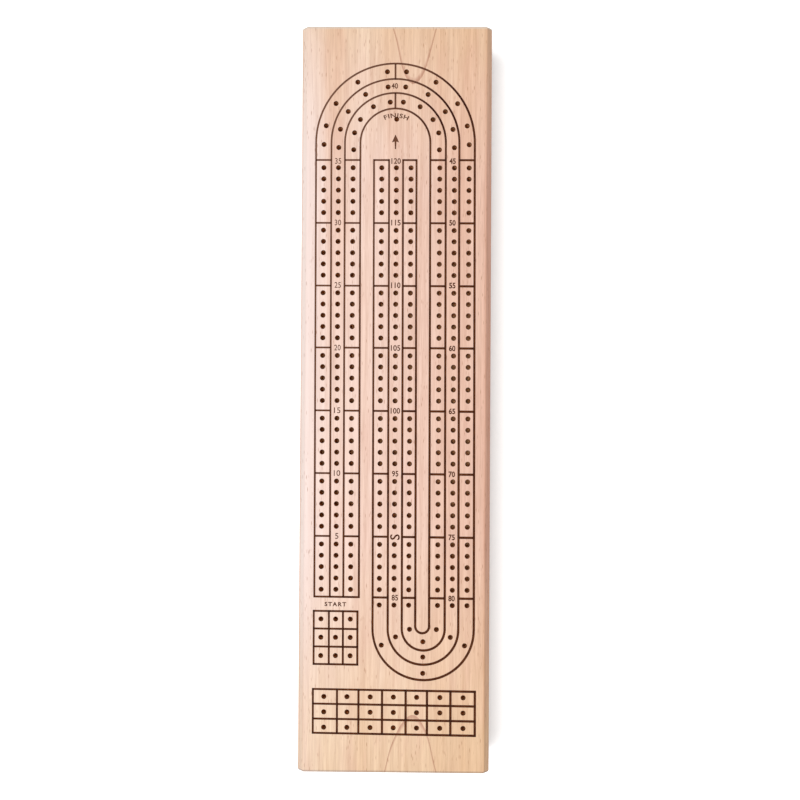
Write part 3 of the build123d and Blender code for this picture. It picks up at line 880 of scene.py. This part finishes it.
def plywood(name, low, high, shift):
    """Three-ply birch between two heights in millimetres. The height becomes a count of plies from 0 to 3,
    and a glue line is where the count is nearly a whole number, inside the panel."""
    made, tree = new_material(name)
    coordinates = add(tree, "TexCoord").outputs
    place = add(tree, "Mapping", [coordinates["Object"], (0, shift, 0), (0, 0, 0), IN_MM])
    fibres = add(tree, "MapRange", [scaled_noise(tree, place, VENEER_FIBRE, 3.0), 0.3, 0.7])
    bands = add(tree, "MapRange", [scaled_noise(tree, place, VENEER_BAND), 0.3, 0.7])
    veneer = add(tree, "Mix", [fibres, "#ead2ac", "#dfc197"], **MIXED)
    veneer = add(tree, "Mix", [bands, veneer, "#f7ecdb"], **TINTED)

    height = add(tree, "SeparateXYZ", [place]).outputs[2]
    above = add(tree, "Math", [height, low], operation="SUBTRACT")
    ply = add(tree, "Math", [above, 3 / (high - low)], operation="MULTIPLY")
    number = add(tree, "Math", [ply], operation="FLOOR")
    middle = add(tree, "Math", [number, 1.0, 0.1], operation="COMPARE")
    pores = add(tree, "MapRange", [scaled_noise(tree, place, CORE_PORE, 3.0), 0.35, 0.65])
    core = add(tree, "Mix", [pores, "#b98c5c", "#cfa776"], **MIXED)
    edge = add(tree, "Mix", [middle, veneer, core], **MIXED)
    from_seam = add(tree, "Math", [ply, 1.0], operation="SUBTRACT")
    seam = add(tree, "Math", [from_seam, 0.5], operation="PINGPONG")
    glue = add(tree, "Math", [seam, GLUE_LINE], operation="LESS_THAN")
    inner = add(tree, "Math", [ply, 1.5, 0.75], operation="COMPARE")
    glued = add(tree, "Math", [glue, inner], operation="MULTIPLY")
    edge = add(tree, "Mix", [glued, edge, "#6e4426"], **MIXED)

    normal = add(tree, "SeparateXYZ", [coordinates["Normal"]]).outputs
    facing = add(tree, "Math", [normal[2]], operation="ABSOLUTE")
    steep = add(tree, "Math", [facing, EDGE_TILT], operation="LESS_THAN")
    tone = add(tree, "Mix", [steep, veneer, edge], **MIXED)
    bump = add(tree, "Bump", {"Height": fibres, "Strength": 0.25, "Distance": 0.1 * MM})
    shader = add(tree, "BsdfPrincipled", {"Base Color": tone, "Roughness": 0.55, "Normal": bump})
    add(tree, "OutputMaterial", {"Surface": shader})
    return made


for name, node, body in (("box_bottom", "bottom_panel", "box"), ("drawer_bottom", "drawer_panel", "drawer")):
    low, high = box_mm(node)
    sheet = plywood(f"birch_plywood_{body}", low[2], high[2], low[0])
    softened(name, node, body, sheet)
    print(name, "of three plies,", round((high[2] - low[2]) / 3, 2), "mm each")

# %% [markdown]
# ## Turned pegs
# A peg is turned on a lathe from a thin rod: a domed head, two grooves for the fingertips, a slim waist,
# a bead, and a shank that narrows to a rounded tip, so that it finds its hole. Its surface is the
# outline carried round the axis. Nine pegs share one outline, and only the metal changes.

# %% A surface of revolution
def turned(outline, sides):
    """Points of an outline of (along, radius) carried round: (radius cos, along, radius sin), ring by ring.
    Both ends are closed by a point on the axis."""
    turn = np.radians(np.arange(sides) * 360 / sides)
    along, radius = np.asarray(outline, float)[1:-1].T
    rings = np.stack([
        np.outer(radius, np.cos(turn)), np.repeat(along[:, None], sides, 1), np.outer(radius, np.sin(turn)),
    ], axis=-1).reshape(-1, 3)
    poles = np.array([(0, outline[0][0], 0), (0, outline[-1][0], 0)])
    here = np.arange(sides)
    beside = np.roll(here, -1)
    steps = np.arange(len(radius) - 1)[:, None] * sides
    walls = np.stack([steps + here, steps + sides + here, steps + sides + beside, steps + beside], axis=-1)
    last = (len(radius) - 1) * sides
    first_pole = len(rings)
    faces = walls.reshape(-1, 4).tolist()
    faces += [[first_pole, a, b] for a, b in zip(here, beside)]
    faces += [[first_pole + 1, last + b, last + a] for a, b in zip(here, beside)]
    return np.vstack([rings, poles]), faces


def curve_points(centre, size, start, end, steps):
    """A stretch of an ellipse as (along, radius) points, angles in degrees from the axis."""
    turn = np.radians(np.linspace(start, end, steps))
    return np.column_stack([centre[0] - size[0] * np.cos(turn), centre[1] + size[1] * np.sin(turn)])


# %% The outline of a peg
peg_low, peg_high = box_mm("peg_brass_2")
PEG_LENGTH = peg_high[1] - peg_low[1]
PEG_RADIUS = (peg_high[2] - peg_low[2]) / 2
HEAD_DOME = 1.5  # places along the peg are counted from the top of its head
FINGER_GROOVES = (3.2, 4.8)
GROOVE_REACH, GROOVE_DIP = 0.35, 0.28
WAIST_START, WAIST_LENGTH, WAIST_DIP = 6.4, 11.2, 0.42
BEAD_ROUNDING = 0.5
SHOULDER = 20.0
SHANK_RADIUS = 1.1
FILLET_ALONG, FILLET_OUT = 0.3, 0.1  # where the shank meets the shoulder
TIP_START, TIP_LENGTH, TIP_RADIUS = 28.0, 1.0, 0.92
groove = curve_points((0, 0), (GROOVE_REACH, -GROOVE_DIP), 0, 180, 7)
share = np.linspace(0, 1, 13)
waist_radius = PEG_RADIUS - WAIST_DIP * np.sin(share * np.pi) ** 0.8
waist = np.column_stack([WAIST_START + share * WAIST_LENGTH, waist_radius])
bead = (SHOULDER - BEAD_ROUNDING, PEG_RADIUS - BEAD_ROUNDING)
peg_outline = np.vstack([
    curve_points((HEAD_DOME, 0), (HEAD_DOME, PEG_RADIUS), 0, 90, 9),
    *(groove + (along, PEG_RADIUS) for along in FINGER_GROOVES), waist,
    [(bead[0], PEG_RADIUS)], curve_points(bead, (-BEAD_ROUNDING, BEAD_ROUNDING), 90, 0, 5),
    [(SHOULDER, SHANK_RADIUS + FILLET_OUT), (SHOULDER + FILLET_ALONG, SHANK_RADIUS)],
    [(TIP_START, TIP_RADIUS)],
    curve_points((TIP_START, 0), (-TIP_LENGTH, TIP_RADIUS), 90, 0, 6),
])
peg_points, peg_faces = turned(peg_outline, 28)
print("peg of", len(peg_faces), "faces,", round(PEG_LENGTH, 1), "mm long")

# %% [markdown]
# ## Turned metal
# Turned metal carries very fine rings from the tool, so the roughness and a slight bump run round the
# axis. Brass and nickel plate are bare metal. The black pegs are anodised aluminium, a thin dyed oxide:
# dark and satin, with the metal still shining a little through it. Handling has dulled all of them in
# soft patches.

# %% Metals
TOOL_RING = 3.0  # rings in a millimetre, coarser than real ones so that they show
RING_RUN = 0.05  # how little the pattern changes round the axis
WORN_PATCH = (0.4, 0.4, 0.4)


def turned_metal(name, code, roughness, axis=1):
    """Metal with tool rings across one axis, a ring every third of a millimetre."""
    made, tree = new_material(name)
    place = add(tree, "Mapping", {"Vector": add(tree, "TexCoord").outputs["Object"], "Scale": IN_MM})
    stretch = [RING_RUN] * 3
    stretch[axis] = TOOL_RING
    rings = scaled_noise(tree, place, stretch)
    wear = scaled_noise(tree, place, WORN_PATCH, 3.0)
    from_tool = add(tree, "MapRange", [rings, 0.3, 0.7, -0.05, 0.06])
    from_wear = add(tree, "MapRange", [wear, 0.3, 0.7, roughness, roughness + 0.1])
    rough = add(tree, "Math", [from_tool, from_wear], operation="ADD")
    bump = add(tree, "Bump", {"Height": rings, "Strength": 0.2, "Distance": 0.05 * MM})
    dull = add(tree, "MapRange", [wear, 0.35, 0.7])
    tone = add(tree, "Mix", [dull, code, "#f3f1ef"], **TINTED)
    shader = add(tree, "BsdfPrincipled", {
        "Base Color": tone, "Metallic": 1.0, "Roughness": rough, "Normal": bump,
    })
    add(tree, "OutputMaterial", {"Surface": shader})
    return made


peg_metals = {
    "brass": turned_metal("turned_brass", "#d9b26a", 0.22),
    "nickel": turned_metal("nickel_plate", "#c9c5bd", 0.2),
    "black": turned_metal("black_anodised_aluminium", "#26262a", 0.32),
}
for metal, finish in peg_metals.items():
    for number in (1, 2, 3):
        node = f"peg_{metal}_{number}"
        low, high = box_mm(node)
        middle = ((low[0] + high[0]) / 2, low[1], (low[2] + high[2]) / 2)
        peg = new_piece(f"{metal}_peg_{number}", peg_points + middle, peg_faces, [finish])
        peg.data.set_sharp_from_angle(angle=math.radians(50))
        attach(peg, "drawer")
        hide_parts(node)
print("three pegs each of", ", ".join(finish.name for finish in peg_metals.values()))

# %% [markdown]
# ## Feet
# The feet are stick-on buttons of moulded black rubber, a little wider at the glued side. Rubber is matt,
# and a fine grain catches dust, so a few specks are paler.

# %% Rubber feet
RUBBER_GRAIN = (1 / 0.3,) * 3


def rubber():
    """Moulded black rubber: matt, with a fine grain that catches dust."""
    made, tree = new_material("moulded_rubber")
    place = add(tree, "Mapping", {"Vector": add(tree, "TexCoord").outputs["Object"], "Scale": IN_MM})
    grain = scaled_noise(tree, place, RUBBER_GRAIN, 3.0)
    dusty = add(tree, "MapRange", [grain, 0.4, 0.75])
    tone = add(tree, "Mix", [dusty, "#1c1c1d", "#343436"], **MIXED)
    bump = add(tree, "Bump", {"Height": grain, "Strength": 0.3, "Distance": 0.1 * MM})
    shader = add(tree, "BsdfPrincipled", {"Base Color": tone, "Roughness": 0.75, "Normal": bump})
    add(tree, "OutputMaterial", {"Surface": shader})
    return made


def upright(points):
    """Turns a piece made along Y so that it stands along Z."""
    return points[:, [2, 0, 1]]


FOOT_INSET = 1.1  # how much narrower it is on the floor than at the glue
FOOT_ROUNDING = 0.7
FOOT_LIP, FOOT_LIP_INSET = 0.2, 0.15
foot_rubber = rubber()
for corner in ("start_left", "start_right", "finish_left", "finish_right"):
    low, high = box_mm(f"foot_{corner}")
    wide, tall = (high[0] - low[0]) / 2, high[2] - low[2]
    sole = wide - FOOT_INSET
    outline = np.vstack([
        [(0, 0), (0, sole)], curve_points((FOOT_ROUNDING, sole), (FOOT_ROUNDING,) * 2, 15, 80, 5),
        [(tall - FOOT_LIP, wide), (tall, wide - FOOT_LIP_INSET), (tall, 0)],
    ])
    points, faces = turned(outline, 40)
    button = new_piece(f"{corner}_foot", upright(points) + (*(low + high)[:2] / 2, 0), faces, [foot_rubber])
    button.data.set_sharp_from_angle(angle=math.radians(40))
    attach(button, "box")
    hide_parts(f"foot_{corner}")
print("four feet,", round(2 * wide, 1), "mm across and", round(tall, 1), "mm tall")

# %% [markdown]
# ## The stop screw
# The stop screw is a plain countersunk wood screw of zinc-plated steel, pale grey with a soft sheen. Its
# head lies flush in the bottom panel with a cross recess for the driver, and its thread stands up into
# the hollow under the drawer. It is a stack of rings again, but here the height or the radius also
# changes round the ring: deeper where the recess is, wider where the thread has climbed to.

# %% The screw's head
screw_low, screw_high = box_mm("stop_screw")
HEAD_RADIUS = (screw_high[0] - screw_low[0]) / 2
HEAD_ROUNDING = 0.05
RECESS_REACH, RECESS_HALF_WIDTH, RECESS_DEPTH = 1.7, 0.42, 1.1
RECESS_SLOPE, RECESS_WALL = 0.9, 0.12  # how far its sloping ends and its steep walls run
INNERMOST_RING = 0.04
SCREW_SIDES = 72
turn = np.radians(np.arange(SCREW_SIDES) * 360 / SCREW_SIDES)
reach = np.linspace(INNERMOST_RING, HEAD_RADIUS - HEAD_ROUNDING, 26)
flat_x, flat_y = np.outer(reach, np.cos(turn)), np.outer(reach, np.sin(turn))


def slot_depth(along, aside):
    """One arm of the cross: deepest in the middle, with sloping ends and steep walls."""
    ends = np.clip((RECESS_REACH - np.abs(along)) / RECESS_SLOPE, 0, 1)
    walls = np.clip((RECESS_HALF_WIDTH - np.abs(aside)) / RECESS_WALL + 0.5, 0, 1)
    return RECESS_DEPTH * ends * walls


recess = np.maximum(slot_depth(flat_x, flat_y), slot_depth(flat_y, flat_x))
print("a head", round(2 * HEAD_RADIUS, 1), "mm across, its recess", round(recess.max(), 2), "mm deep")

# %% The screw's cone and thread
THREAD_RADIUS = 1.5
THREAD_DEPTH = 0.35
THREAD_PITCH = 1.1
POINT_RADIUS = 0.7
THREAD_BELOW_CONE, THREAD_FROM_POINT = 0.1, 0.5
CORE_RADIUS = THREAD_RADIUS - THREAD_DEPTH
screw_height = screw_high[2] - screw_low[2]
cone = np.linspace(0, 1, 5)[:, None]
cone_radius = HEAD_RADIUS + cone * (CORE_RADIUS - HEAD_RADIUS)
cone_height = HEAD_ROUNDING + cone * (HEAD_RADIUS - CORE_RADIUS)
climb = np.linspace(cone_height[-1, 0] + THREAD_BELOW_CONE, screw_height - THREAD_FROM_POINT, 33)[:, None]
wave = np.abs((climb / THREAD_PITCH - turn / (2 * math.pi)) % 1 * 2 - 1)
even = np.zeros((1, SCREW_SIDES))  # added to a column, it carries each value round the ring
radius = np.vstack([
    reach[:, None] + even, cone_radius + even, THREAD_RADIUS - THREAD_DEPTH * wave, even + POINT_RADIUS,
])
height = np.vstack([recess, cone_height + even, climb + even, even + screw_height])
points = np.stack([radius * np.cos(turn), radius * np.sin(turn), height], axis=-1).reshape(-1, 3)
here, beside = np.arange(SCREW_SIDES), np.roll(np.arange(SCREW_SIDES), -1)
above = np.arange(len(radius) - 1)[:, None] * SCREW_SIDES
below = above + SCREW_SIDES
walls = np.stack([above + here, above + beside, below + beside, below + here], axis=-1)
faces = walls.reshape(-1, 4).tolist()
faces += [here[::-1].tolist(), (here + below[-1]).tolist()]
zinc = turned_metal("zinc_plated_steel", "#b9bcc0", 0.3, axis=2)
middle = (screw_low + screw_high) / 2
screw = new_piece("drawer_stop_screw", points + (middle[0], middle[1], screw_low[2]), faces, [zinc])
screw.data.set_sharp_from_angle(angle=math.radians(45))
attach(screw, "box")
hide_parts("stop_screw")
print("a screw of", len(faces), "faces,", round(screw_height, 1), "mm long")

# %% [markdown]
# ## Floor, light and camera
# A wide pale floor keeps a soft shadow. The key light comes from above and a little from the left, so
# the left bevel stays bright and the right one turns darker, and the sky fills in from all round. The
# camera looks almost straight down, from a little to one side of the middle, as the photograph does.

# %% Floor
def looked_at(tree):
    """1 for a ray that the camera, a reflection or a clear material sends, and 0 for all other light."""
    path = add(tree, "LightPath").outputs
    seen = add(tree, "Math", [path["Is Camera Ray"], path["Is Glossy Ray"]], operation="MAXIMUM")
    return add(tree, "Math", [seen, path["Is Transmission Ray"]], operation="MAXIMUM")


def pale_floor():
    """White where the camera or a reflection looks, and pale grey for the light that it sends back."""
    made, tree = new_material("pale_floor")
    seen = looked_at(tree)
    tone = add(tree, "Mix", [seen, "#c8c6c2", "#ffffff"], **MIXED)
    paint = add(tree, "BsdfDiffuse", {"Color": tone})
    strength = add(tree, "Math", [seen, 0.4], operation="MULTIPLY")
    glow = add(tree, "Emission", {"Color": "#ffffff", "Strength": strength})
    add(tree, "OutputMaterial", {"Surface": add(tree, "AddShader", [paint, glow])})
    return made


FLOOR_HALF = 4000.0
corners = np.array([(-1, -1, 0), (1, -1, 0), (1, 1, 0), (-1, 1, 0)]) * FLOOR_HALF
floor = new_piece("floor", corners, [[0, 1, 2, 3]], [pale_floor()], smooth=False)
print("a floor", round(2 * FLOOR_HALF * MM), "m wide")

# %% Lights
KEY = 2.5
KEY_TILT = (3, -14, 0)  # degrees
KEY_ANGLE = 30  # how wide the sun looks, which softens its shadows
SKY = 0.2
key = bpy.data.lights.new("key", "SUN")
key.energy = KEY
key.angle = math.radians(KEY_ANGLE)
placed("key", key).rotation_euler = np.radians(KEY_TILT)
world = bpy.data.worlds.new("studio")
world.use_nodes = True
sky = world.node_tree
sky.nodes.clear()
strength = add(sky, "MapRange", [looked_at(sky), 0, 1, SKY, 1.0])
background = add(sky, "Background", {"Color": "#ffffff", "Strength": strength})
add(sky, "OutputWorld", {"Surface": background})
bpy.context.scene.world = world
bpy.context.scene.view_settings.view_transform = "Standard"
print("a key of", KEY, "and a sky of", SKY)

# %% Camera
LENS = 50
CAMERA_PLACE = (11.67, -8.36, 590.41)  # millimetres from the middle of the playing face
CAMERA_TURN = (0.715, 0.876, 0.327)  # degrees
camera_data = bpy.data.cameras.new("camera")
camera_data.lens = LENS
camera = placed("camera", camera_data)
camera.location = (np.array(CAMERA_PLACE) + (0, 0, playing_face)) * MM
camera.rotation_euler = np.radians(CAMERA_TURN)
bpy.context.scene.camera = camera
print("camera", round(camera.location.z, 3), "m up")
